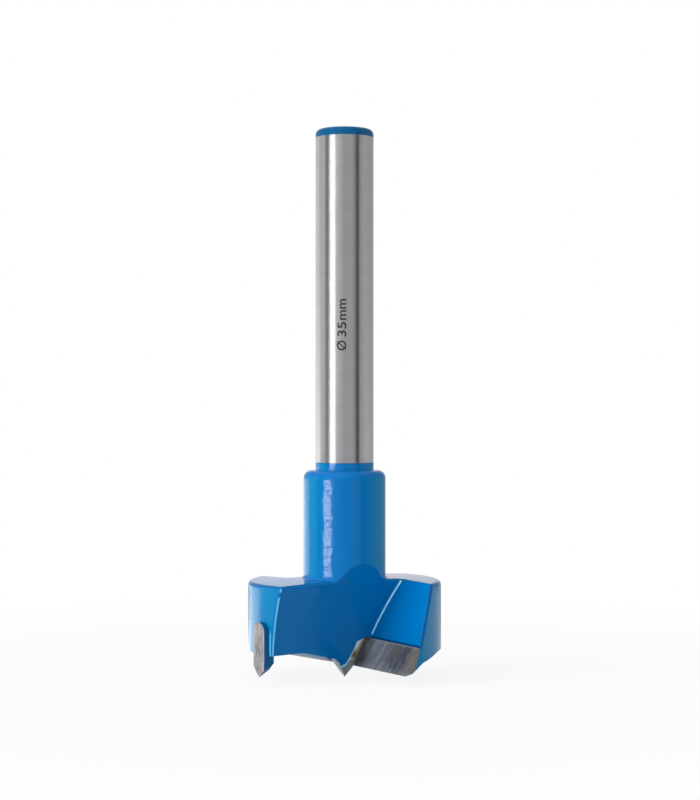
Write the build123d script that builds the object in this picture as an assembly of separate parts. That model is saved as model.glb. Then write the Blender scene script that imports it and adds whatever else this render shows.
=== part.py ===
from build123d import *
import math
import os

# A two-wing hinge-boring bit. The tip of its centre point is the origin and the shank points up.
# Each wing has its own rake face, bottom relief, chip gullet, cutter plate and spur.
# Lengths are millimetres and angles are degrees.

# Turned body
overall_length = 94.0
cutting_diameter = 35.0
rim_clearance = 0.95
collar_diameter = 14.1
shank_diameter = 10.0
point_height = 1.65
head_height = 15.4
head_top_slope = 2.4
collar_length = 18.5
rim_rounding = 0.7
collar_foot_rounding = 0.6
collar_top_rounding = 1.4
shank_end_rounding = 0.9

# Rake faces: flat, leaning back, and turned about the axis from the front of the bit
wing_count = 2
rake_turn = 37.0
rake_angle = 18.0
rake_face_offset = 2.15

# Chip gullets: the wall that a large disc cutter leaves in front of each rake face
disc_radius = 45.0
disc_turn = 40.9
disc_lean = 25.0
disc_rim_offset = 0.6
disc_centre_drop = 7.0
disc_corner_radius = 0.5
edge_rounding = 0.4

# Relief ground under each wing: a slope behind the cutting edge, then a level floor
relief_start = 1.2
relief_angle = 13.5
relief_depth = 3.38

# Centre point: two pairs of opposite faces, each with its angle and its turn about the axis
point_angle_along = 52.0
point_turn_along = 45.9
point_angle_across = 75.0
point_turn_across = 33.0

# Cutter plates. Each is raised along its rake face by its own amount.
plate_thickness = 2.2
plate_proud = 0.7
plate_inner_reach = 0.64
plate_end_inset = 0.9
plate_height_inner = 5.2
plate_height_outer = 4.8
plate_end_angle = 16.0
plate_edge_fall = 0.85
plate_corner_width = 1.75
plate_corner_rise = 0.62
plate_flank_angle = 32.0
plate_raises = (0.0, 0.75)

# The cheek ground into the web beside each plate when its rake face is ground
cheek_draft = 19.3
cheek_end_angle = 13.3
cheek_top_slope = 45.0
cheek_reach = 3.0

# Spurs
spur_turn = -54.9
spur_width = 3.3
spur_thickness = 2.0
spur_length = 9.15
spur_depth_below_edge = 0.25
spur_tip_shift = 0.26
spur_leading_rise = 1.75
spur_trailing_rise = 1.25
spur_undercut_angle = 30.0

# Braze layers between the carbide and the steel
braze_gap = 0.12

# Room that cutting shapes need to pass right through the body
clear = 2.0 * cutting_diameter

cutting_level = point_height
head_top = point_height + head_height
collar_top = head_top + collar_length
cutting_radius = cutting_diameter / 2
head_diameter = cutting_diameter - 2 * rim_clearance
head_radius = head_diameter / 2
collar_radius = collar_diameter / 2
shank_radius = shank_diameter / 2
disc_centre_out = disc_radius + disc_rim_offset
plate_outer_reach = cutting_radius - plate_end_inset
wing_step = 360.0 / wing_count


def around(angle):
    """Directions at an angle about the axis: outward, and along the rim away from the cut."""
    turn = math.radians(angle)
    outward = Vector(math.sin(turn), -math.cos(turn), 0)
    behind = Vector(math.cos(turn), math.sin(turn), 0)
    return outward, behind


def leaning_plane(angle, lean, behind_axis):
    """A plane whose X runs outward, Y up the face, and Z out of the face towards the cut."""
    outward, behind = around(angle)
    tilt = math.radians(lean)
    facing = behind * -math.cos(tilt) + Vector(0, 0, math.sin(tilt))
    origin = behind * behind_axis + Vector(0, 0, cutting_level)
    return Plane(origin=origin, x_dir=outward, z_dir=facing)


rake_plane = leaning_plane(rake_turn, rake_angle, rake_face_offset)
plate_plane = rake_plane.offset(plate_proud)


def rounded(profile, corner, radius):
    """The profile with one of its corners rounded."""
    vertex = profile.vertices().sort_by_distance(Vector(*corner))[0]
    return fillet(vertex, radius)


def turned_body():
    """The stock as turned: head, collar and shank."""
    rim_drop = (head_radius - collar_radius) * math.tan(math.radians(head_top_slope))
    rim = (head_radius, head_top - rim_drop)
    collar_foot = (collar_radius, head_top)
    collar_edge = (collar_radius, collar_top)
    shank_end = (shank_radius, overall_length)
    outline = Polyline(
        (0, cutting_level),
        (head_radius, cutting_level),
        rim,
        collar_foot,
        collar_edge,
        (shank_radius, collar_top),
        shank_end,
        (0, overall_length),
        close=True,
    )
    profile = make_face(outline)
    profile = rounded(profile, rim, rim_rounding)
    profile = rounded(profile, collar_foot, collar_foot_rounding)
    profile = rounded(profile, collar_edge, collar_top_rounding)
    profile = rounded(profile, shank_end, shank_end_rounding)
    return revolve(Plane.XZ * profile, Axis.Z)


def relief_cut():
    """What is ground away under one wing: below a slope that rises behind the cutting edge."""
    outward, behind = around(rake_turn)
    edge = plate_plane.origin + Vector(0, 0, relief_start)
    rising = behind + Vector(0, 0, math.tan(math.radians(relief_angle)))
    below = Plane(origin=edge, x_dir=outward, z_dir=rising.cross(outward))
    wedge = below * Box(clear, clear, clear, align=(Align.CENTER, Align.CENTER, Align.MIN))
    floor = Pos(0, 0, cutting_level + relief_depth)
    slab = floor * Box(2 * clear, 2 * clear, clear, align=(Align.CENTER, Align.CENTER, Align.MAX))
    return wedge & slab


def point_faces(facing, angle):
    """The wedge between two opposite faces of the centre point, square to a level direction."""
    height = cutting_level + relief_depth
    half_width = height * math.tan(math.radians(angle / 2))
    triangle = make_face(Polyline((0, 0), (half_width, height), (-half_width, height), close=True))
    upright = Plane(origin=(0, 0, 0), x_dir=facing, z_dir=facing.cross(Vector(0, 0, 1)))
    return extrude(upright * triangle, clear, both=True)


def centre_point():
    """The four-sided point that the web is ground to."""
    along = point_faces(around(point_turn_along)[0], point_angle_along)
    across = point_faces(around(point_turn_across)[1], point_angle_across)
    return along & across


def gullet():
    """One pass of the disc cutter, stopped at the rake face, with the disc's rounded corner."""
    disc_plane = leaning_plane(disc_turn, disc_lean, 0)
    disc = disc_plane * Pos(disc_centre_out, -disc_centre_drop, 0) * Cylinder(disc_radius, 2 * clear)
    front = rake_plane * Box(2 * clear, 2 * clear, clear, align=(Align.CENTER, Align.CENTER, Align.MIN))
    cutter = disc & front
    corner = cutter.edges().filter_by(GeomType.ELLIPSE).sort_by_distance(rake_plane.origin)[0]
    return fillet(corner, disc_corner_radius)


def end_run(height, angle):
    """How far a plate's slanted inner end has moved outward at a height up its face."""
    return height * math.tan(math.radians(angle))


def seat_outline(grow, end_angle=plate_end_angle):
    """The ends and top of a plate, or of its pocket. It runs out past the foot."""
    slope = (plate_height_inner - plate_height_outer) / (plate_outer_reach - plate_inner_reach)
    top = plate_height_inner + grow
    foot = -2 * cutting_level
    inner = plate_inner_reach - grow
    outer = plate_outer_reach + grow
    return make_face(
        Polyline(
            (inner + end_run(foot, end_angle), foot),
            (outer, foot),
            (outer, top - slope * (outer - inner)),
            (inner + end_run(top, end_angle), top),
            close=True,
        )
    )


def ground_outline():
    """The cutting edge, corner and outer end of a plate. It runs out past the inner end and top."""
    top = 2 * plate_height_inner
    fall = math.tan(math.radians(plate_edge_fall))
    corner = plate_outer_reach - plate_corner_width
    return make_face(
        Polyline(
            (-cutting_diameter, cutting_diameter * fall),
            (corner, -corner * fall),
            (plate_outer_reach, plate_corner_rise - corner * fall),
            (plate_outer_reach, top),
            (-cutting_diameter, top),
            close=True,
        )
    )


def circle_column(radius):
    """A circle about the axis, drawn out into a cylinder taller than the head."""
    return Cylinder(radius, 2 * clear)


def face_direction(x, y, z):
    """A direction given along the rake plane's own axes."""
    return (rake_plane.x_dir * x + rake_plane.y_dir * y + rake_plane.z_dir * z).normalized()


def plate_bar(grow):
    """A plate before grinding, or its pocket, which is longer, taller and deeper by the gap."""
    return extrude(plate_plane * seat_outline(grow), -(plate_thickness + grow))


def cutter_plate():
    """A carbide plate with its edge and corner ground back, and its outer end ground round."""
    flank_rise = math.tan(math.radians(plate_flank_angle + rake_angle))
    heel = face_direction(0, flank_rise, -1)
    ground = extrude(plate_plane * ground_outline(), amount=4 * plate_thickness, dir=heel)
    return plate_bar(0) & ground & circle_column(plate_outer_reach)


def cheek_cut():
    """What the grinding of a plate's face takes off the web in front of it."""
    out = math.tan(math.radians(cheek_draft))
    forward = face_direction(out, 0, 1)
    swept = extrude(plate_plane * seat_outline(0, cheek_end_angle), amount=cheek_reach, dir=forward)
    slope = math.radians(cheek_top_slope)
    top_edge = plate_plane.from_local_coords(Vector(0, plate_height_inner, 0))
    roof = Plane(top_edge, plate_plane.x_dir, face_direction(0, math.cos(slope), math.sin(slope)))
    return swept & roof * Box(clear, clear, clear, align=(Align.CENTER, Align.CENTER, Align.MAX))


def spur_plane():
    """A plane on the cutting circle whose X runs along the rim, Y up and Z outward."""
    outward, behind = around(spur_turn)
    return Plane(origin=outward * cutting_radius + Vector(0, 0, cutting_level), x_dir=behind, z_dir=outward)


def spur_outline(grow):
    """A spur's front view before grinding: straight sides under a round top."""
    foot = -cutting_level
    radius = spur_width / 2 + grow
    centre = spur_length - spur_depth_below_edge - spur_width / 2
    sides = Polyline((-radius, centre), (-radius, foot), (radius, foot), (radius, centre))
    top = ThreePointArc((radius, centre), (0, centre + radius), (-radius, centre))
    return make_face([*sides.edges(), top.edge()])


def spur_bar(grow):
    """A spur before grinding, or its slot, which is wider, taller and deeper by the gap."""
    return extrude(spur_plane() * spur_outline(grow), -(spur_thickness + grow))


def spur():
    """A carbide spur: its V edge rises inwards from the tip on the cutting circle."""
    plane = spur_plane()
    tip_level = -spur_depth_below_edge
    lead_run = spur_width / 2 + spur_tip_shift
    trail_run = spur_width / 2 - spur_tip_shift
    reach = spur_length
    ridge = make_face(
        Polyline(
            (spur_tip_shift, tip_level),
            (spur_tip_shift + reach, tip_level + reach * spur_trailing_rise / trail_run),
            (spur_tip_shift + reach, tip_level + 2 * reach),
            (spur_tip_shift - reach, tip_level + 2 * reach),
            (spur_tip_shift - reach, tip_level + reach * spur_leading_rise / lead_run),
            close=True,
        )
    )
    undercut = math.radians(spur_undercut_angle)
    slope = plane.z_dir * -math.cos(undercut) + Vector(0, 0, math.sin(undercut))
    roof = extrude(plane * ridge, amount=spur_thickness * 2, dir=slope)
    return spur_bar(0) & roof & circle_column(cutting_radius)


def all_wings(shape):
    """The shape and its copies, one for each wing."""
    return [Rot(0, 0, wing_step * i) * shape for i in range(wing_count)]


def raised_wings(shape):
    """The plates' copies, each slid up its own rake face."""
    wings = []
    for i, raise_by in enumerate(plate_raises):
        slide = Pos(*(rake_plane.y_dir * raise_by))
        wings.append(Rot(0, 0, wing_step * i) * (slide * shape))
    return wings


def milled_body():
    """The steel body with its reliefs, point and gullets, still without its pockets."""
    body = turned_body()
    for cut in all_wings(relief_cut()):
        body -= cut
    body += centre_point()
    gullets = all_wings(gullet())
    milled = body
    for cut in gullets:
        milled -= cut
    rims = new_edges(body, *gullets, combined=milled)
    upper = [edge for edge in rims if edge.bounding_box().max.Z > head_top - head_height / 2]
    return fillet(upper, edge_rounding)


def braze_layers(pockets, bars):
    """What fills the gap between each pocket in the body and the bar that its insert is ground from."""
    return [(pocket & blank) - bar for pocket, bar in zip(pockets, bars)]


os.makedirs("parts", exist_ok=True)

blank = milled_body()
for cut in raised_wings(cheek_cut()):
    blank -= cut

plate_pockets = raised_wings(plate_bar(braze_gap))
spur_slots = all_wings(spur_bar(braze_gap))

body = blank
for cut in plate_pockets + spur_slots:
    body -= cut
export_step(body, "parts/body.step")

pieces = {
    "cutter_plate": raised_wings(cutter_plate()),
    "spur": all_wings(spur()),
    "plate_braze": braze_layers(plate_pockets, raised_wings(plate_bar(0))),
    "spur_braze": braze_layers(spur_slots, all_wings(spur_bar(0))),
}
for name, copies in pieces.items():
    for i, piece in enumerate(copies):
        export_step(piece, f"parts/{name}_{i + 1}.step")
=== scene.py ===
import math

import bmesh
import bpy
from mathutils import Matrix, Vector


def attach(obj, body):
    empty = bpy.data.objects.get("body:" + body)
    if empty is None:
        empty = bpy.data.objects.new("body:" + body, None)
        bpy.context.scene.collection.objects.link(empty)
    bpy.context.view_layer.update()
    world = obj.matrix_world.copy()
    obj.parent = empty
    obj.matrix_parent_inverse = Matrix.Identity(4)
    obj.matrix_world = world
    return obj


# A wood boring bit, dressed for a studio picture: satin ground shank, glossy blue head, bare carbide.
# Sizes are metres and angles are degrees. The tip of the centre point is the origin and the shank
# points up. A turn is an angle about the axis from the camera's side, and the left is negative.

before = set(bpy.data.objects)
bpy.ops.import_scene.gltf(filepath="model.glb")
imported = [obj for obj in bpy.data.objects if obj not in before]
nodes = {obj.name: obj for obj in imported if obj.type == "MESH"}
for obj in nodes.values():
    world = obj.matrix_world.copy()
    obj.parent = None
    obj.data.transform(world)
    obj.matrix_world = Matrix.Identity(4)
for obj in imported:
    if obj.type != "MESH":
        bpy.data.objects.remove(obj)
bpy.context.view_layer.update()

MM = 0.001

# Places on the bit, read against its own sizes
shank_radius = 5.0 * MM
head_radius = 16.55 * MM
cutting_level = 1.65 * MM
paint_top_below = 36.85 * MM
paint_foot_above = 92.55 * MM
wing_sides = (1, -1)

# Rake faces
rake_turn = 37.0
rake_lean = 18.0
rake_offset = 2.15 * MM

# The wall that the disc cutter leaves in front of each rake face
disc_radius = 45.0 * MM
disc_turn = 40.9
disc_lean = 25.0
disc_centre_out = 45.6 * MM
disc_centre_drop = 7.0 * MM

# Cutter plates on the rake faces
plate_proud = 0.7 * MM
plate_inner_reach = 0.64 * MM
plate_outer_reach = 16.6 * MM
plate_top = 5.2 * MM
plate_top_fall = 0.025
plate_edge_fall = 0.85
plate_raises = {1: 0.0, -1: 0.75 * MM}

# The cheek beside each plate, and the faces of the centre point
cheek_draft = 19.3
cheek_end_angle = 13.3
cheek_facing = Vector((0.746, -0.591, -0.307))
cheek_top_facing = Vector((0.363, 0.273, -0.891))
point_turn_along = 45.9
point_angle_along = 52.0
point_turn_across = 33.0
point_angle_across = 75.0

# Spurs, and the slots that they are brazed into
spur_turn = -54.9
slot_half_width = 1.77 * MM
slot_round_height = 8.9 * MM


# Shader sums written as Python

class Wire:
    """A node socket that carries a number, so that sums and masks can be written out."""

    def __init__(self, finish, socket):
        self.finish = finish
        self.socket = socket

    def _sum(self, operation, *values):
        return self.finish.node("ShaderNodeMath", {"operation": operation}, dict(enumerate(values)))

    def __add__(self, other):
        return self._sum("ADD", self, other)

    def __radd__(self, other):
        return self._sum("ADD", other, self)

    def __sub__(self, other):
        return self._sum("SUBTRACT", self, other)

    def __rsub__(self, other):
        return self._sum("SUBTRACT", other, self)

    def __mul__(self, other):
        return self._sum("MULTIPLY", self, other)

    def __rmul__(self, other):
        return self._sum("MULTIPLY", other, self)

    def __truediv__(self, other):
        return self._sum("DIVIDE", self, other)

    def __pow__(self, other):
        return self._sum("POWER", self, other)

    def least(self, other):
        return self._sum("MINIMUM", self, other)

    def most(self, other):
        return self._sum("MAXIMUM", self, other)

    def size(self):
        return self._sum("ABSOLUTE", self)

    def above(self, level, softness):
        """0 below a level and 1 above it, with a soft step."""
        step = {"interpolation_type": "SMOOTHSTEP"}
        ends = {0: self, 1: level - softness, 2: level + softness}
        return self.finish.node("ShaderNodeMapRange", step, ends)

    def below(self, level, softness):
        return 1 - self.above(level, softness)

    def within(self, low, high, softness):
        return self.above(low, softness) * self.below(high, softness)

    def between_turns(self, first, last, softness):
        """For an angle in radians: 1 between two turns in degrees."""
        return self.within(math.radians(first), math.radians(last), softness)


class Finish:
    """The nodes of a material, or of the studio round the bit."""

    def __init__(self, holder):
        self.holder = holder
        holder.use_nodes = True
        self.tree = holder.node_tree
        self.tree.nodes.clear()

    def node(self, kind, settings=None, sockets=None, output=0):
        """Adds a node: its settings first, then the values or links of its sockets."""
        made = self.tree.nodes.new(kind)
        for name, value in (settings or {}).items():
            if name == "stops":
                self._stops(made.color_ramp, value)
            else:
                setattr(made, name, value)
        for key, value in (sockets or {}).items():
            if isinstance(value, Wire):
                self.tree.links.new(value.socket, made.inputs[key])
            else:
                made.inputs[key].default_value = value
        if made.outputs:
            return Wire(self, made.outputs[output])
        return made

    def _stops(self, ramp, stops):
        while len(ramp.elements) < len(stops):
            ramp.elements.new(0.5)
        for element, (place, colour) in zip(ramp.elements, stops):
            element.position = place
            element.color = colour

    def place(self):
        return self.node("ShaderNodeTexCoord", output="Object")

    def facing(self):
        return self.node("ShaderNodeNewGeometry", output="True Normal")

    def edge_on(self):
        """0 where a surface is seen square on and 1 where it is seen edge on."""
        return self.node("ShaderNodeLayerWeight", None, {"Blend": 0.5}, output="Facing")

    def ray(self, kind):
        """1 for one kind of light ray, such as Is Camera Ray."""
        return self.node("ShaderNodeLightPath", output=kind)

    def split(self, vector):
        """The three parts of a vector."""
        made = self.node("ShaderNodeSeparateXYZ", None, {0: vector})
        outputs = made.socket.node.outputs
        return [Wire(self, outputs[i]) for i in range(3)]

    def join(self, x, y, z):
        return self.node("ShaderNodeCombineXYZ", None, {0: x, 1: y, 2: z})

    def radius(self):
        """How far a point lies from the axis."""
        x, y, _ = self.split(self.place())
        return (x * x + y * y) ** 0.5

    def turn(self, x, y):
        """The turn of a point or a direction, in radians."""
        return self.node("ShaderNodeMath", {"operation": "ARCTAN2"}, {0: x, 1: 0 - y})

    def along(self, vector, direction):
        """How far a vector reaches along a direction."""
        settings = {"operation": "DOT_PRODUCT"}
        return self.node("ShaderNodeVectorMath", settings, {0: vector, 1: direction}, output="Value")

    def scaled(self, vector, scales):
        settings = {"operation": "MULTIPLY"}
        return self.node("ShaderNodeVectorMath", settings, {0: vector, 1: scales})

    def mix(self, share, first, second):
        """The first colour where share is 0 and the second where it is 1."""
        settings = {"data_type": "RGBA"}
        return self.node("ShaderNodeMix", settings, {0: share, 6: first, 7: second}, output=2)

    def shade(self, share, *stops):
        """A colour that runs through stops, each a place from 0 to 1 and a colour."""
        return self.node("ShaderNodeValToRGB", {"stops": stops}, {0: share})

    def noise(self, vector, scale, detail, roughness):
        sockets = {"Vector": vector, "Scale": scale, "Detail": detail, "Roughness": roughness}
        return self.node("ShaderNodeTexNoise", None, sockets)

    def grain(self, vector, scales, detail, roughness):
        """A noise that is finer along the axes with the higher scales."""
        return self.noise(self.scaled(vector, scales), 1.0, detail, roughness)

    def bump(self, height, strength, distance):
        sockets = {"Height": height, "Strength": strength, "Distance": distance}
        return self.node("ShaderNodeBump", None, sockets)

    def surface(self, **sockets):
        """A surface shader. Socket names are written with underscores."""
        named = {name.replace("_", " "): value for name, value in sockets.items()}
        return self.node("ShaderNodeBsdfPrincipled", None, named)

    def glow(self, level):
        """A surface that shines grey, where a level of 1 is white."""
        return self.node("ShaderNodeEmission", None, {"Color": level, "Strength": 1.0})

    def blend(self, share, first, second):
        """The first shader where share is 0 and the second where it is 1."""
        return self.node("ShaderNodeMixShader", None, {0: share, 1: first, 2: second})

    def done(self, shader):
        self.node("ShaderNodeOutputMaterial", None, {0: shader})
        return self.holder


def material(name):
    return Finish(bpy.data.materials.new(name))


def srgb(red, green, blue):
    """A colour given as it looks on a screen, 0 to 255."""
    parts = []
    for value in (red, green, blue):
        share = value / 255
        parts.append(share / 12.92 if share <= 0.04045 else ((share + 0.055) / 1.055) ** 2.4)
    return (*parts, 1.0)


def grey(level):
    return (level, level, level, 1.0)


def either(masks):
    """Where any of the masks is 1."""
    joined = masks[0]
    for mask in masks[1:]:
        joined = joined.most(mask)
    return joined


# Directions on the bit

down = Vector((0, 0, -1))


def level_directions(turn):
    """Outward at a turn, and along the rim behind the cut."""
    angle = math.radians(turn)
    outward = Vector((math.sin(angle), -math.cos(angle), 0))
    behind = Vector((math.cos(angle), math.sin(angle), 0))
    return outward, behind


def leaning_directions(turn, lean):
    """Outward, up the face and out of the face, for a face that leans back."""
    outward, behind = level_directions(turn)
    tilt = math.radians(lean)
    facing = behind * -math.cos(tilt) - down * math.sin(tilt)
    return outward, facing.cross(outward), facing


def point_facings():
    """The ways that the two faces of the centre point beside one wing look."""
    along_lean = math.radians(point_angle_along / 2)
    across_lean = math.radians(point_angle_across / 2)
    outward = level_directions(point_turn_along)[0]
    behind = level_directions(point_turn_across)[1]
    first = outward * math.cos(along_lean) + down * math.sin(along_lean)
    second = behind * -math.cos(across_lean) + down * math.sin(across_lean)
    return first, second


def tangent(angle):
    return math.tan(math.radians(angle))


first_point_facing, second_point_facing = point_facings()


class Wing:
    """Places and masks beside one wing. The far wing is the near one turned half round."""

    def __init__(self, finish, side):
        self.finish = finish
        self.own = finish.scaled(finish.place(), (side, side, 1))
        self.normal = finish.scaled(finish.facing(), (side, side, 1))
        outward, upward, facing = leaning_directions(rake_turn, rake_lean)
        origin = level_directions(rake_turn)[1] * rake_offset - down * cutting_level
        self.out, self.up, self.front = [
            finish.along(self.own, axis) - origin.dot(axis) for axis in (outward, upward, facing)
        ]
        self.height = self.up - plate_raises[side]

    def faces(self, direction, least=0.97):
        """Where the surface faces a direction, at least as squarely as a cosine says."""
        return self.finish.along(self.normal, direction).above(least, 0.02)

    def depth_in_wall(self):
        """How deep a point lies behind the wall that the disc cutter leaves."""
        outward, upward, _ = leaning_directions(disc_turn, disc_lean)
        base = down * -cutting_level
        across = self.finish.along(self.own, outward) - base.dot(outward) - disc_centre_out
        rise = self.finish.along(self.own, upward) - base.dot(upward) + disc_centre_drop
        return (across * across + rise * rise) ** 0.5 - disc_radius

    def cheek_distance(self):
        """How far inside the steel a point lies, seen from the cheek ground beside the plate."""
        forward = self.front - plate_proud
        cheek = plate_inner_reach + self.height * tangent(cheek_end_angle) + forward * tangent(cheek_draft)
        return cheek - self.out

    def point_distance(self):
        """How far inside the steel a point lies, seen from the faces of the centre point."""
        along = self.finish.along(self.own, level_directions(point_turn_along)[0])
        across = self.finish.along(self.own, level_directions(point_turn_across)[1])
        height = self.finish.along(self.own, (0, 0, 1))
        first = height * tangent(point_angle_along / 2) - along
        second = height * tangent(point_angle_across / 2) - across.size()
        return first.least(second)

    def above_plate(self):
        """How far above the top of the plate a point lies on the rake face."""
        return self.height - plate_top + (self.out - plate_inner_reach) * plate_top_fall

    def from_slot(self):
        """How far behind the middle of the spur's slot a point lies, and how far from its edge."""
        aside = self.finish.along(self.own, level_directions(spur_turn)[1])
        over = (self.finish.along(self.own, (0, 0, 1)) - slot_round_height).most(0.0)
        return aside, (aside * aside + over * over) ** 0.5 - slot_half_width


# Where a finish starts or ends is written as a pair, a place and the softness of the change there. A
# band is written as its two ends and their softness. A skin says how far off a face still counts as
# on it.

# Paint

paint_blue = srgb(0, 116, 188)
paint_deep = srgb(0, 108, 180)
# Painted light from here to paint_shadow: a paler sheen on round sides seen edge on, highlights along
# edges, in corners and where the paint wears through, shade on the rounding of the wings, and shadow
paint_grazing_sheen = srgb(0, 128, 182)
paint_edge_highlight = srgb(104, 204, 250)
paint_corner_highlight = srgb(140, 222, 255)
paint_round_shade = srgb(0, 98, 142)
paint_worn_edge_highlight = srgb(176, 244, 255)
paint_shadow = srgb(0, 62, 112)
paint_cap = srgb(0, 88, 138)

# How squarely a round side faces away from the axis, and how edge on it is seen, where a painted sheen
# turns it pale
round_side_from = (0.97, 0.02)
grazing_sheen_from = (0.24, 0.22)


def gloss_paint(finish, colour):
    """Sprayed gloss paint with a faint orange peel."""
    peel = finish.noise(finish.place(), scale=900.0, detail=2.0, roughness=0.5)
    return finish.surface(
        Base_Color=colour,
        Roughness=0.1 + 0.04 * peel,
        Specular_IOR_Level=0.27,
        Normal=finish.bump(peel, strength=1.0, distance=0.05 * MM),
    )


def coat_colour(finish):
    """The blue of the paint, with a painted sheen that turns it paler where a round side slips out of
    sight.
    """
    place = finish.place()
    depth_of_colour = finish.noise(place, scale=180.0, detail=2.0, roughness=0.5)
    colour = finish.mix(depth_of_colour, paint_deep, paint_blue)
    outward = finish.along(finish.scaled(place, (1, 1, 0)), finish.facing()) / finish.radius()
    pale = outward.above(*round_side_from) * finish.edge_on().above(*grazing_sheen_from)
    return finish.mix(pale, colour, paint_grazing_sheen)


# Painted highlight: the pale line in the corner between a rake face and its wall, above the plate
corner_highlight_band = (-0.34 * MM, -0.02 * MM, 0.03 * MM)
corner_skin = (0.2 * MM, 0.03 * MM)
corner_foot = (0.8 * MM, 0.1 * MM)
corner_top = (16.7 * MM, 0.05 * MM)

# Painted highlight along the end of each wall at the rim, broken up near its top
rim_from = (head_radius - 0.36 * MM, 0.04 * MM)
wall_highlight_band = (-0.1 * MM, 0.1 * MM, 0.03 * MM)
wall_line_from = (0.3 * MM, 0.1 * MM)
wall_line_whole_to = (14.0 * MM, 0.3 * MM)
wall_line_pieces = (0.38, 0.03)

# Painted highlight along the edge of each spur's slot
slot_highlight_band = (-0.02 * MM, 0.34 * MM, 0.03 * MM)
slot_line_from = (1.0 * MM, 0.1 * MM)
slot_line_top = (slot_round_height, 0.6 * MM)
slot_line_rim = (head_radius - 0.4 * MM, 0.05 * MM)

# Painted highlight where the paint wears through beside the cheeks and along the edges of the centre point
cheek_highlight_band = (0.06 * MM, 0.13 * MM, 0.03 * MM)
cheek_line_top = (4.0 * MM, 0.3 * MM)
point_highlight_band = (-0.02 * MM, 0.07 * MM, 0.03 * MM)
point_line_top = (3.0 * MM, 0.2 * MM)

# How far from upright a face may be for the painted highlights to show
upright_to = (0.5, 0.05)

# Dark places: painted shadow above the plates, at the outer ends of the rake faces and at the neck, painted
# shade on the rounding of the wings, and the darker end of the shank
plate_shadow_band = (0.0, 0.42 * MM, 0.12 * MM)
rake_skin = (0.1 * MM, 0.03 * MM)
rake_from = (0.5 * MM, 0.1 * MM)
rake_end_shadow_band = (-0.3 * MM, 0.1 * MM, 0.05 * MM)
rake_end_foot = (0.0, 0.05 * MM)
neck_shadow_band = (paint_top_below - 0.14 * MM, paint_top_below, 0.03 * MM)
top_round_foot = (15.6 * MM, 0.2 * MM)
top_round_from = (8.0 * MM, 0.1 * MM)
top_round_slopes = (0.55, 0.95, 0.04)
cap_foot = (paint_foot_above, 0.03 * MM)

# Bare places: the shank, and the ground faces within the web's reach
bare_shank = (paint_top_below, paint_foot_above, 0.03 * MM)
web_to = (9.0 * MM, 0.05 * MM)
wall_skin = (0.1 * MM, 0.03 * MM)
point_side_top = (2.75 * MM, 0.08 * MM)
cheek_top_foot = (5.4 * MM, 0.1 * MM)
cheek_from = (plate_proud - 0.1 * MM, 0.05 * MM)
cheek_to = (4.85 * MM, 0.08 * MM)
cheek_skin = (0.08 * MM, 0.03 * MM)
cheek_slant = 1.2
cheek_slant_to = (7.05 * MM, 0.06 * MM)


def beside_plate(finish, wing):
    """Where a cheek is, in front of the rake face and near the web."""
    return wing.front.above(*cheek_from) * wing.height.below(*cheek_to) * finish.radius().below(*web_to)


def edge_lines(finish, wings):
    """The painted highlight lines: in the corners above the plates, along other edges, and where the paint
    wears through beside the cheeks and the point.
    """
    z = finish.split(finish.place())[2]
    radius = finish.radius()
    run = finish.noise(finish.place(), scale=900.0, detail=2.0, roughness=0.6)
    upright = finish.along(finish.facing(), (0, 0, 1)).size().below(*upright_to)
    corners = []
    painted_light = []
    worn_edge_highlights = []
    for wing in wings:
        depth = wing.depth_in_wall()
        corner = depth.within(*corner_highlight_band) * wing.front.size().below(*corner_skin)
        corners.append(corner * wing.above_plate().above(*corner_foot) * z.below(*corner_top))
        wall_end = depth.within(*wall_highlight_band) * radius.above(*rim_from) * wing.front.above(*wall_line_from)
        unbroken = either([z.below(*wall_line_whole_to), run.above(*wall_line_pieces)])
        aside, from_slot = wing.from_slot()
        by_slot = from_slot.within(*slot_highlight_band) * aside.above(*slot_line_from)
        by_slot = by_slot * z.below(*slot_line_top) * radius.above(*slot_line_rim)
        painted_light += [wall_end * unbroken, by_slot]
        by_cheek = wing.cheek_distance().within(*cheek_highlight_band) * beside_plate(finish, wing)
        by_point = wing.point_distance().within(*point_highlight_band) * z.below(*point_line_top)
        worn_edge_highlights += [by_cheek * wing.height.below(*cheek_line_top), by_point * upright]
    return either(corners), either(painted_light) * upright, either(worn_edge_highlights)


def painted_shadows(finish, wings):
    """Painted shadow above the plates, at the outer ends of the rake faces and at the neck."""
    z = finish.split(finish.place())[2]
    shadows = [z.within(*neck_shadow_band) * 0.7]
    for wing in wings:
        over_plate = wing.above_plate()
        on_rake = wing.front.size().below(*rake_skin) * wing.out.above(*rake_from)
        shadows.append(over_plate.within(*plate_shadow_band) * on_rake)
        rake_end = wing.front.within(*rake_end_shadow_band) * finish.radius().above(*rim_from)
        shadows.append(rake_end * over_plate.above(*rake_end_foot) * 0.6)
    return either(shadows)


def body_colour(finish, wings):
    """The paint on the body: darker on the end of the shank, with painted shade on the rounding of the
    wings, painted shadow lines, and painted highlights.
    """
    z = finish.split(finish.place())[2]
    slope = finish.along(finish.facing(), (0, 0, 1)).size()
    top_round_shade = z.above(*top_round_foot) * finish.radius().above(*top_round_from)
    top_round_shade = top_round_shade * slope.within(*top_round_slopes)
    corners, painted_light, worn_edge_highlights = edge_lines(finish, wings)
    colour = finish.mix(z.above(*cap_foot), coat_colour(finish), paint_cap)
    colour = finish.mix(top_round_shade * 0.8, colour, paint_round_shade)
    colour = finish.mix(painted_shadows(finish, wings), colour, paint_shadow)
    colour = finish.mix(worn_edge_highlights, colour, paint_worn_edge_highlight)
    colour = finish.mix(painted_light, colour, paint_edge_highlight)
    return finish.mix(corners, colour, paint_corner_highlight)


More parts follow.
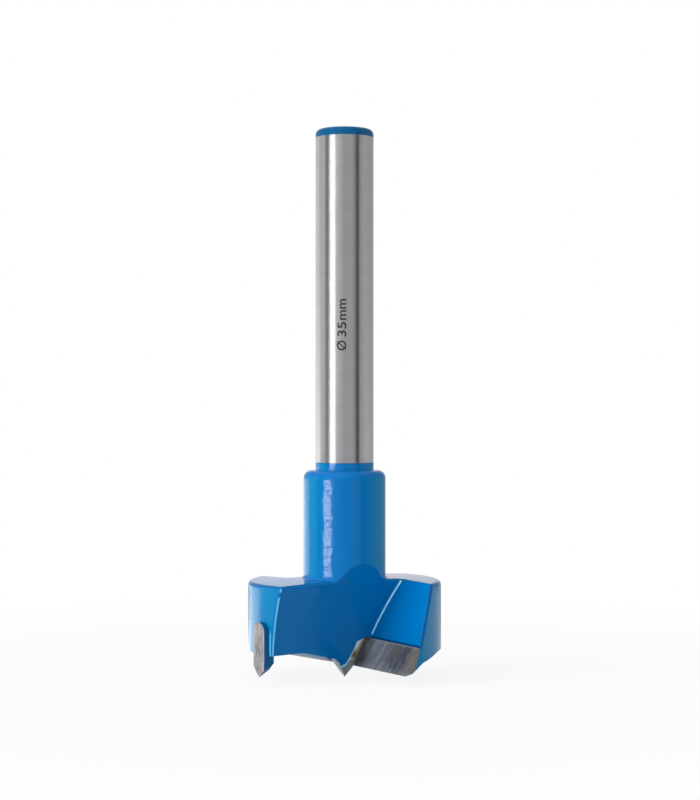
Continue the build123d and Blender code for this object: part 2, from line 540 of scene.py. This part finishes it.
def bare_places(finish, wings):
    """Where the head shows steel: the cheeks beside the plates and the centre point."""
    z = finish.split(finish.place())[2]
    near_web = finish.radius().below(*web_to)
    off_walls = 1 - either([wing.depth_in_wall().size().below(*wall_skin) for wing in wings])
    ground = []
    cheeks = []
    for wing in wings:
        ground += [
            wing.faces(cheek_facing),
            wing.faces(cheek_top_facing) * z.above(*cheek_top_foot),
            wing.faces(first_point_facing),
            wing.faces(second_point_facing) * z.below(*point_side_top),
        ]
        slanted_top = (wing.front + wing.height * cheek_slant).below(*cheek_slant_to)
        cheeks.append(wing.cheek_distance().below(*cheek_skin) * beside_plate(finish, wing) * slanted_top)
    return either([either(ground) * off_walls * near_web] + cheeks)


# Bare steel

shank_tones = (srgb(224, 224, 226), srgb(244, 244, 245))

# Heat tint on a cheek, from the plate's cutting edge up to its top, turning white towards the top as a
# painted highlight
heat_tints_and_highlight = (
    (0.0, srgb(190, 190, 186)),
    (0.16, srgb(236, 236, 228)),
    (0.30, srgb(104, 103, 86)),
    (0.44, srgb(168, 160, 132)),
    (0.58, srgb(246, 240, 200)),
    (0.68, srgb(255, 255, 250)),
    (0.90, srgb(255, 255, 255)),
)
scratch_scales = (2500.0, 2500.0, 900.0)
scratched_steel = (srgb(118, 114, 118), srgb(170, 166, 168))
scratched_to = (plate_proud + 0.7 * MM, 0.4 * MM)
near_side_from = (0.0, 0.05 * MM)

# The centre point: pale as painted light, with painted shade on one face of each pair
point_lit = srgb(214, 218, 228)
point_blue = srgb(110, 160, 190)
point_shade = srgb(148, 154, 156)
point_scratch = srgb(90, 92, 96)
point_blue_from = (0.9 * MM, 0.5 * MM)
point_scratches = (0.55, 0.08)
point_top = (3.0 * MM, 0.3 * MM)
point_radius_squared = ((2.1 * MM) ** 2, (0.5 * MM) ** 2)


def shank_steel(finish):
    """Cylindrically ground steel: fine rings that spread a highlight along the shank."""
    rings = finish.grain(finish.place(), (500.0, 500.0, 9000.0), detail=4.0, roughness=0.6)
    patches = finish.grain(finish.place(), (300.0, 300.0, 700.0), detail=4.0, roughness=0.6)
    return finish.surface(
        Base_Color=finish.mix(patches, *shank_tones),
        Metallic=1.0,
        Roughness=0.31 + 0.08 * rings,
        Anisotropic=1.0,
        Anisotropic_Rotation=0.25,
        Normal=finish.bump(rings, strength=0.15, distance=0.004 * MM),
    )


def ground_steel(finish, wings):
    """The bare faces of the head: heat tinted, with a painted highlight towards the top, and scratched
    beside the plates; grey at the point, with painted shade on one face of each pair.
    """
    x, y, z = finish.split(finish.place())
    scratches = finish.grain(finish.place(), scratch_scales, detail=4.0, roughness=0.7)
    tints = []
    for wing in wings:
        tint = finish.shade(wing.height / plate_top + (scratches - 0.5) * 0.2, *heat_tints_and_highlight)
        scratched = finish.mix(scratches, *scratched_steel)
        tints.append(finish.mix(wing.front.below(*scratched_to) * 0.9, tint, scratched))
    tint = finish.mix(wings[0].front.above(*near_side_from), tints[1], tints[0])
    shaded_faces = either([wing.faces(first_point_facing) for wing in wings])
    point = finish.mix(z.above(*point_blue_from) * 0.5, point_lit, point_blue)
    point = finish.mix(shaded_faces, point, point_shade)
    point = finish.mix(scratches.above(*point_scratches) * 0.4, point, point_scratch)
    at_point = z.below(*point_top) * (x * x + y * y).below(*point_radius_squared)
    colour = finish.mix(at_point, tint, point)
    return finish.surface(Base_Color=colour, Metallic=0.1, Roughness=0.38)


def painted_body():
    """The one body: painted head and shank end, bare shank, and bare ground places on the head."""
    finish = material("painted_body")
    wings = [Wing(finish, side) for side in wing_sides]
    painted = gloss_paint(finish, body_colour(finish, wings))
    head = finish.blend(bare_places(finish, wings), painted, ground_steel(finish, wings))
    shank = finish.split(finish.place())[2].within(*bare_shank)
    return finish.done(finish.blend(shank, head, shank_steel(finish)))


# Carbide plates and spurs

# Painted reflection on a plate's rake face, darker near the cheek as painted shade: its tone by the
# distance out along its edge, in millimetres, and its browner outer end by the share of that way
plate_reflection_tones = ((0.6, 96), (2.0, 98), (3.3, 134), (5.5, 168), (7.7, 150), (9.9, 106), (12.4, 86))
plate_brown = (
    (0.87, srgb(84, 83, 86)),
    (0.915, srgb(132, 114, 102)),
    (0.95, srgb(142, 120, 98)),
    (1.0, srgb(104, 104, 102)),
)

# The bands of painted reflection lean outwards as they rise
tone_lean = 0.15

# Grinding streaks, which lean outwards at the top, and warm spots between them
streak_lean = 24
streak_scales = (1500.0, 180.0, 800.0)
streak_dark = srgb(84, 88, 94)
streak_light = srgb(196, 196, 198)
dark_streaks = (0.52, 0.1)
light_streaks = (0.42, 0.08)
warm_spot = srgb(150, 132, 112)
warm_spots = (0.56, 0.06)

# The grey low corner at a plate's outer end, a pale land along its cutting edge, and a painted highlight
# along its top edge
low_corner = srgb(118, 118, 118)
low_corner_from = (0.76, 0.03)
low_corner_top = (1.3 * MM, 0.9 * MM)
land_and_edge_highlight = srgb(180, 190, 194)
cutting_land_top = (0.7 * MM, 0.4 * MM)
top_highlight_foot = (-0.3 * MM, 0.12 * MM)
top_highlight_from = (4.0 * MM, 2.0 * MM)

# A plate's flanks, bare close to its edges, the outward end face in painted shade, and the painted
# undersides paler as painted reflection of the floor
flank_bare = (srgb(130, 140, 150), srgb(166, 176, 188))
flank_end_shade = srgb(124, 130, 138)
flank_floor_reflection = srgb(60, 150, 200)
flank_paint_from = (0.62 * MM, 0.05 * MM)
underside_from = (0.4, 0.1)

# Spurs
spur_tones = (srgb(146, 142, 142), srgb(214, 210, 212))
spur_tone_step = (0.5, 0.16)
spur_speck = srgb(176, 150, 146)
spur_specks = (0.58, 0.06)
spur_border = srgb(206, 216, 232)
spur_border_from = (1.36 * MM, 0.08 * MM)
# Painted shade: the spurs' paint is darker than the body's
spur_paint_shade = (srgb(0, 78, 126), srgb(0, 104, 160))

# Braze under its paint, dark and light as painted shadow, and where it lies flush with the side of the head
plate_braze_shadow = (srgb(0, 56, 96), srgb(30, 92, 136))
spur_braze_shade = (srgb(0, 84, 140), srgb(0, 118, 184))
flush_from = (head_radius - 0.1 * MM, 0.02 * MM)


def plate_face_colour(finish, wing, streaks, mottle):
    """The rake face of a plate: bands of painted reflection along it, streaks across it, a pale land at its
    cutting edge and a painted highlight along its top.
    """
    reach = wing.out - wing.up * tone_lean - plate_inner_reach
    reach = reach / (plate_outer_reach - plate_inner_reach)
    inner = plate_inner_reach / MM
    span = plate_outer_reach / MM - inner
    bands = [((place - inner) / span, srgb(tone - 3, tone, tone + 5)) for place, tone in plate_reflection_tones]
    colour = finish.shade(reach + (mottle - 0.5) * 0.12, *bands, *plate_brown)
    colour = finish.mix(streaks.above(*dark_streaks) * 0.5, colour, streak_dark)
    colour = finish.mix(streaks.below(*light_streaks) * 0.45, colour, streak_light)
    colour = finish.mix(mottle.above(*warm_spots) * 0.3, colour, warm_spot)
    corner = reach.above(*low_corner_from) * wing.up.below(*low_corner_top)
    colour = finish.mix(corner * 0.8, colour, low_corner)
    cutting_land = (wing.height + wing.out * tangent(plate_edge_fall)).below(*cutting_land_top)
    top_highlight = wing.above_plate().above(*top_highlight_foot) * wing.out.above(*top_highlight_from)
    return finish.mix((cutting_land * 0.2).most(top_highlight * 0.25), colour, land_and_edge_highlight)


def plate_flanks(finish, wing, rake, mottle):
    """The sides of a plate: bare close to its edges, and painted further back. The outward end is darker as
    painted shade and the painted undersides paler as painted reflection of the floor.
    """
    outward = level_directions(rake_turn)[0]
    tone = finish.mix(mottle, *flank_bare)
    tone = finish.mix(wing.faces(outward, least=0.6), tone, flank_end_shade)
    land = finish.surface(Base_Color=tone, Metallic=0.1, Roughness=0.55, Specular_IOR_Level=0.15)
    under = finish.along(finish.facing(), down).above(*underside_from)
    coat = coat_colour(finish)
    painted_light = finish.mix(under, coat, flank_floor_reflection)
    painted_light = finish.surface(Base_Color=painted_light, Roughness=0.5, Specular_IOR_Level=0.15)
    painted = (plate_proud - wing.front).above(*flank_paint_from) * (1 - rake)
    return finish.blend(painted, land, finish.blend(under, gloss_paint(finish, coat), painted_light))


def plate_carbide(name, side):
    """A ground carbide plate: streaked rake face, with paint left on the flanks behind its edges."""
    finish = material(name)
    wing = Wing(finish, side)
    rake = wing.faces(leaning_directions(rake_turn, rake_lean)[2], least=0.9)
    lean = math.radians(streak_lean)
    across = wing.out * math.cos(lean) - wing.up * math.sin(lean)
    along = wing.out * math.sin(lean) + wing.up * math.cos(lean)
    streaks = finish.grain(finish.join(across, along, wing.front), streak_scales, detail=5.0, roughness=0.7)
    mottle = finish.noise(wing.own, scale=420.0, detail=3.0, roughness=0.6)
    face = finish.surface(
        Base_Color=plate_face_colour(finish, wing, streaks, mottle),
        Metallic=0.45,
        Roughness=0.36 + 0.14 * streaks,
        Normal=finish.bump(streaks, strength=0.25, distance=0.01 * MM),
    )
    return finish.done(finish.blend(rake, plate_flanks(finish, wing, rake, mottle), face))


def spur_carbide(name, side):
    """A carbide spur: its outer face is ground bare and the rest is painted, in a darker blue that is
    painted shade.
    """
    finish = material(name)
    wing = Wing(finish, side)
    outward, behind = level_directions(spur_turn)
    grain = finish.grain(wing.own, (2600.0, 2600.0, 420.0), detail=4.0, roughness=0.6)
    specks = finish.noise(wing.own, scale=1300.0, detail=3.0, roughness=0.7)
    colour = finish.mix(grain.above(*spur_tone_step), *spur_tones)
    colour = finish.mix(specks.above(*spur_specks) * 0.4, colour, spur_speck)
    border = finish.along(wing.own, behind).size().above(*spur_border_from)
    colour = finish.mix(border * 0.7, colour, spur_border)
    normal = finish.bump(grain, strength=0.2, distance=0.01 * MM)
    bare = finish.surface(Base_Color=colour, Metallic=0.6, Roughness=0.42, Normal=normal)
    paint = gloss_paint(finish, finish.mix(specks, *spur_paint_shade))
    return finish.done(finish.blend(wing.faces(outward, least=0.9), paint, bare))


def painted_braze(name, dark, light):
    """Brazing metal under the paint, darkened as painted shadow, which is the plain coat where it lies
    flush with the head.
    """
    finish = material(name)
    beads = finish.noise(finish.place(), scale=1600.0, detail=3.0, roughness=0.6)
    flush = finish.radius().above(*flush_from)
    colour = finish.mix(flush, finish.mix(beads, dark, light), coat_colour(finish))
    return finish.done(gloss_paint(finish, colour))


def dress(node, look):
    mesh = nodes[node].data
    mesh.materials.clear()
    mesh.materials.append(look)


dress("body", painted_body())
for i, side in enumerate(wing_sides, start=1):
    dress(f"cutter_plate_{i}", plate_carbide(f"plate_carbide_{i}", side))
    dress(f"spur_{i}", spur_carbide(f"spur_carbide_{i}", side))
    dress(f"plate_braze_{i}", painted_braze(f"plate_braze_{i}", *plate_braze_shadow))
    dress(f"spur_braze_{i}", painted_braze(f"spur_braze_{i}", *spur_braze_shade))


# The size mark on the shank, read from the head upwards

# Its words, each with its foot, length and height
mark_words = (
    ("\u00d8", 55.95 * MM, 1.66 * MM, 1.62 * MM),
    ("35", 58.3 * MM, 2.45 * MM, 1.52 * MM),
    ("mm", 61.1 * MM, 3.54 * MM, 1.09 * MM),
)
mark_base_turn = 3.5
mark_proud = 0.006 * MM
mark_strip = 0.08 * MM

# How much bolder the letters are than their font, as a share of its size, and the steps in a curve
mark_stroke = 0.012
mark_curve_steps = 6

mark_tones = (srgb(14, 14, 15), srgb(58, 58, 60))
mark_tone_step = (0.5, 0.2)


def mark_ink():
    finish = material("mark_ink")
    grain = finish.noise(finish.place(), scale=6000.0, detail=3.0, roughness=0.6)
    colour = finish.mix(grain.above(*mark_tone_step), *mark_tones)
    return finish.done(finish.surface(Base_Color=colour, Roughness=0.6 + 0.2 * grain))


def flat_word(word):
    """A word as a flat mesh."""
    curve = bpy.data.curves.new("word", "FONT")
    curve.body = word
    curve.offset = mark_stroke
    curve.resolution_u = mark_curve_steps
    written = bpy.data.objects.new("word", curve)
    bpy.context.scene.collection.objects.link(written)
    ready = written.evaluated_get(bpy.context.evaluated_depsgraph_get())
    mesh = bpy.data.meshes.new_from_object(ready)
    bpy.data.objects.remove(written)
    return mesh


def wrapped_word(word, foot, length, height):
    """A word fitted to its place along the shank, cut into strips and bent round it."""
    mesh = flat_word(word)
    shape = bmesh.new()
    shape.from_mesh(mesh)
    low = [min(v.co[i] for v in shape.verts) for i in range(2)]
    high = [max(v.co[i] for v in shape.verts) for i in range(2)]
    sizes = (length / (high[0] - low[0]), height / (high[1] - low[1]), 1)
    bmesh.ops.translate(shape, verts=shape.verts, vec=(-low[0], -low[1], 0))
    bmesh.ops.scale(shape, verts=shape.verts, vec=sizes)
    for i in range(1, int(height / mark_strip)):
        parts = shape.verts[:] + shape.edges[:] + shape.faces[:]
        bmesh.ops.bisect_plane(shape, geom=parts, plane_co=(0, mark_strip * i, 0), plane_no=(0, 1, 0))
    for vertex in shape.verts:
        turn = mark_base_turn - math.degrees(vertex.co.y / shank_radius)
        outward = level_directions(turn)[0]
        vertex.co = outward * (shank_radius + mark_proud) + Vector((0, 0, foot + vertex.co.x))
    for face in shape.faces:
        face.normal_update()
        middle = face.calc_center_median()
        if face.normal.dot(Vector((middle.x, middle.y, 0))) < 0:
            face.normal_flip()
    shape.to_mesh(mesh)
    shape.free()
    return mesh


def size_mark():
    """The bore's size, etched along the shank."""
    shape = bmesh.new()
    for word in mark_words:
        shape.from_mesh(wrapped_word(*word))
    mesh = bpy.data.meshes.new("size_mark")
    shape.to_mesh(mesh)
    shape.free()
    mark = bpy.data.objects.new("size_mark", mesh)
    bpy.context.scene.collection.objects.link(mark)
    mesh.materials.append(mark_ink())
    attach(mark, "root")


size_mark()


# Floor and light

floor_radius = 160.0 * MM
floor_tone = srgb(190, 190, 191)

# Where the floor fades into white, by the square of the distance from the axis
floor_fade = (floor_radius ** 2 * 0.5, floor_radius ** 2 * 0.4)

# Its share of white to the camera, and how strong that white is: near the bit, and what its rim adds
floor_white = (0.78, 0.22)
floor_strength = (1.12, -0.12)

# The turns at which the bit mirrors it as white: first, last and softness in radians
floor_left = (-150, -113, 0.14)
floor_right = (90, 150, 0.14)
floor_right_share = 0.2

# Brightness of the tent round the bit by turn. Its two dips draw the dark lines down the shank.
tent_levels = (
    (-180, 1.0), (-150, 0.38), (-120, 0.42), (-84, 0.5), (-81, 0.03), (-73, 0.03), (-71, 0.3), (-62, 0.35),
    (-59, 0.55), (-30, 0.6), (-14, 0.45), (-4, 0.31), (12, 0.31), (22, 0.35), (38, 0.31), (46, 0.24),
    (48, 0.005), (61, 0.005), (63, 0.25), (72, 0.32), (95, 0.36), (145, 0.34), (165, 0.6), (180, 1.0),
)

# The roof of the tent, by the height of a direction
roof_level = 0.6
roof_from = (0.7, 0.2)

# The black strip on the right of the tent, which runs on over the roof and the floor
dark_strip = (47, 62, 0.01)

# Lamps in the tent: first and last turn, lowest and highest angle, level, softness of their sides
tent_lamps = (
    (-60, -37, -6.4, -1.4, 14.5, 0.01),
    (-160, -118, -11.0, -2.0, 1.4, 0.08),
)
lamp_height_softness = 0.01

# Soft lamps that lift the paint and leave the reflections alone: turn, height and share of full light
soft_lamps = ((-68, 25, 0.76), (38, 8, 0.32))
soft_lamp_width = 50

# The camera stands in front of the bit, level with its middle and a little to the right. Its lens
# and its sensor are in millimetres.
camera_place = (0.93 * MM, -320.0 * MM, 47.55 * MM)
camera_lens = 83.79
camera_sensor = 36.0
camera_nearest = 10.0 * MM


def pale_floor():
    """White to the camera apart from the bit's shadow. In the bit's mirror it is white behind and to
    the sides, and black along the dark strip."""
    finish = material("pale_floor")
    x, y, _ = finish.split(finish.place())
    rim = (x * x + y * y).above(*floor_fade)
    seen = finish.ray("Is Camera Ray")
    mirrored = finish.ray("Is Glossy Ray")
    turn = finish.turn(x, y)
    sides = turn.between_turns(*floor_left) + turn.between_turns(*floor_right) * floor_right_share
    share = seen * (floor_white[0] + floor_white[1] * rim) + mirrored * sides
    lit = finish.surface(Base_Color=floor_tone, Roughness=0.9, Specular_IOR_Level=0.1)
    bright = finish.glow(floor_strength[0] + floor_strength[1] * rim + mirrored)
    table = finish.blend(share, lit, bright)
    strip = mirrored * turn.between_turns(*dark_strip)
    return finish.done(finish.blend(strip, table, finish.glow(grey(0.0))))


def studio_floor():
    """A round pale table, which the camera sees fade into the white studio at its rim."""
    mesh = bpy.data.meshes.new("studio_floor")
    shape = bmesh.new()
    bmesh.ops.create_circle(shape, cap_ends=True, segments=96, radius=floor_radius)
    shape.to_mesh(mesh)
    shape.free()
    floor = bpy.data.objects.new("studio_floor", mesh)
    bpy.context.scene.collection.objects.link(floor)
    mesh.materials.append(pale_floor())


def studio_world():
    """White to the camera. What lights the bit is a tent, with a bright lamp low on its left, a black
    strip on its right and white behind."""
    world = bpy.data.worlds.new("studio")
    bpy.context.scene.world = world
    finish = Finish(world)
    x, y, z = finish.split(finish.node("ShaderNodeTexCoord", output="Generated"))
    turn = finish.turn(x, y)
    stops = [(angle / 360 + 0.5, grey(level)) for angle, level in tent_levels]
    walls = finish.shade(turn * (0.5 / math.pi) + 0.5, *stops)
    roof = z.above(*roof_from)
    strip = turn.between_turns(*dark_strip)
    level = walls * (1 - roof) + roof * (1 - strip) * roof_level
    for first, last, low, high, strength, softness in tent_lamps:
        heights = [math.sin(math.radians(angle)) for angle in (low, high)]
        lamp = turn.between_turns(first, last, softness) * z.within(*heights, lamp_height_softness)
        level = level + lamp * strength
    tent = finish.node("ShaderNodeBackground", None, {"Color": level, "Strength": 1.0})
    white = finish.node("ShaderNodeBackground", None, {"Color": grey(1.0), "Strength": 1.0})
    shown = finish.blend(finish.ray("Is Camera Ray"), tent, white)
    finish.node("ShaderNodeOutputWorld", None, {0: shown})


def soft_light():
    """Lights the paint from the left and, more weakly, from the right."""
    for i, (turn, height, share) in enumerate(soft_lamps, start=1):
        lamp = bpy.data.lights.new(f"soft_lamp_{i}", "SUN")
        lamp.energy = share * math.pi
        lamp.angle = math.radians(soft_lamp_width)
        lit = bpy.data.objects.new(f"soft_lamp_{i}", lamp)
        lit.rotation_euler = (math.radians(90 - height), 0, math.radians(turn))
        lit.visible_glossy = False
        bpy.context.scene.collection.objects.link(lit)


def camera():
    """Looks level at the bit from the front."""
    lens = bpy.data.cameras.new("camera")
    lens.sensor_width = camera_sensor
    lens.lens = camera_lens
    lens.clip_start = camera_nearest
    eye = bpy.data.objects.new("camera", lens)
    eye.location = camera_place
    eye.rotation_euler = (math.radians(90), 0, 0)
    bpy.context.scene.collection.objects.link(eye)
    bpy.context.scene.camera = eye


studio_floor()
studio_world()
soft_light()
camera()

bpy.context.scene.view_settings.view_transform = "Standard"
